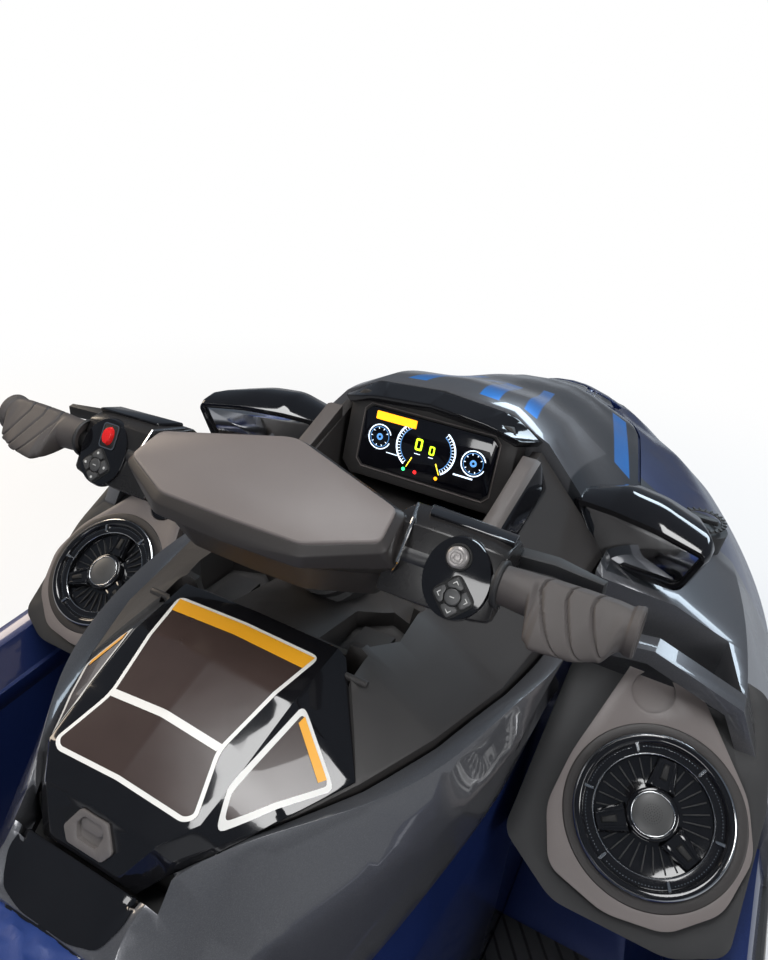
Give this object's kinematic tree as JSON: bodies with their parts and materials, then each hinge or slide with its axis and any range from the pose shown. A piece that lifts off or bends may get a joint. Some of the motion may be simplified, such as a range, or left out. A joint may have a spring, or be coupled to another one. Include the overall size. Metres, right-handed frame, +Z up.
{
  "type": "personal watercraft",
  "caption": "Three-seat touring personal watercraft with steering, jet pump, storage lids and folding boarding step.",
  "frame": {"origin": "on the centreline, amidships, at the still waterline", "axes": "+X forward to the bow, +Y to port, +Z up"},
  "size_m": [3.45, 1.257, 1.143],
  "materials": {
    "bar_metal": "black coated",
    "bin_black": "plain moulded black",
    "console_grey": "dark grey, fine grain",
    "dark_gloss": "near-black metallic, gloss",
    "engine": "plain block, not seen",
    "grey_gloss": "metallic grey, gloss",
    "grip_rubber": "warm grey rubber",
    "hull_blue": "deep blue gel coat, high gloss",
    "key_black": "soft black keys",
    "latch_grey": "grey satin",
    "mat_foam": "grooved deck foam",
    "matte_black": "moulded black, fine grain",
    "mirror": "silvered",
    "piano_black": "black, high gloss",
    "pump_metal": "cast, satin",
    "rail_rubber": "black rubber",
    "screen": "black display glass",
    "seat_vinyl": "navy marine vinyl",
    "steel": "brushed",
    "taupe": "warm grey satin",
    "taupe_dark": "darker warm grey satin"
  },
  "bodies": {
    "craft": {"arch_bands": "grey_gloss", "body_cover": "grey_gloss", "bow_bumper": "rail_rubber", "cargo_mounts": "matte_black", "cleats": "matte_black", "console": "console_grey", "deck": "hull_blue", "engine_block": "engine", "eyes": "steel", "footwell_mats": "mat_foam", "front_body": "grey_gloss", "fuel_cap": "matte_black", "glovebox_bin": "bin_black", "grab_base": "grey_gloss", "grab_handle": "matte_black", "hull": "hull_blue", "intake_grate": "pump_metal", "intake_shoe": "pump_metal", "neck_base": "matte_black", "pedestal": "hull_blue", "pod_base": "matte_black", "pod_keypad": "key_black", "pump_housing": "pump_metal", "rear_cap": "piano_black", "rear_mat": "mat_foam", "ride_plate": "pump_metal", "rub_rails": "rail_rubber", "seat_front": "seat_vinyl", "seat_rear": "seat_vinyl", "speaker_caps": "taupe", "speaker_grilles": "piano_black", "speaker_pods": "taupe", "speakers": "piano_black", "sponsons": "matte_black", "step_base": "matte_black", "stern_bumper": "rail_rubber", "storage_bin": "bin_black", "struts": "console_grey"},
    "bars": {"bar_neck": "bar_metal", "bar_shroud": "matte_black", "bar_pad": "taupe_dark", "bar_pad_cap": "taupe", "bar_housings": "piano_black", "bar_keys": "key_black", "grips": "grip_rubber", "levers": "matte_black"},
    "storage_lid": {"hood": "dark_gloss", "visor": "piano_black", "display_pod": "console_grey", "display_glass": "screen", "mirror_shells": "piano_black", "mirror_glass": "mirror"},
    "glove_box_lid": {"glove_lid": "piano_black", "lid_latch": "latch_grey"},
    "impeller_shaft": {"impeller": "steel"},
    "steering_nozzle": {"jet_nozzle": "pump_metal"},
    "gate": {"reverse_gate": "matte_black"},
    "step_frame": {"boarding_step": "steel"}
  },
  "joints": [
    {"name": "steering", "type": "hinge", "parent": "craft", "child": "bars", "pos_m": [0.474, 0, 0.7071], "axis": [-0.64, 0, 0.7684], "range_deg": [-22, 22]},
    {"name": "storage_lid_hinge", "type": "hinge", "parent": "craft", "child": "storage_lid", "pos_m": [1.57, 0, 0.58], "axis": [0, 1, 0], "range_deg": [0, 50]},
    {"name": "glove_lid_hinge", "type": "hinge", "parent": "craft", "child": "glove_box_lid", "pos_m": [0.31, 0, 0.709], "axis": [0, 1, 0], "range_deg": [0, 45]},
    {"name": "impeller_spin", "type": "hinge", "parent": "craft", "child": "impeller_shaft", "pos_m": [-1.2, 0, -0.095], "axis": [1, 0, 0], "continuous": true},
    {"name": "nozzle_steer", "type": "hinge", "parent": "craft", "child": "steering_nozzle", "pos_m": [-1.48, 0, -0.095], "axis": [0, 0, 1], "range_deg": [-20, 20]},
    {"name": "gate_swing", "type": "hinge", "parent": "craft", "child": "gate", "pos_m": [-1.46, 0, -0.095], "axis": [0, -1, 0], "range_deg": [0, 55]},
    {"name": "step_swing", "type": "hinge", "parent": "craft", "child": "step_frame", "pos_m": [-1.668, 0.3, 0.07], "axis": [0, -1, 0], "range_deg": [0, 160]}
  ],
  "couplings": [
    {"joint": "nozzle_steer", "follows": "steering", "ratio": -0.9}
  ]
}
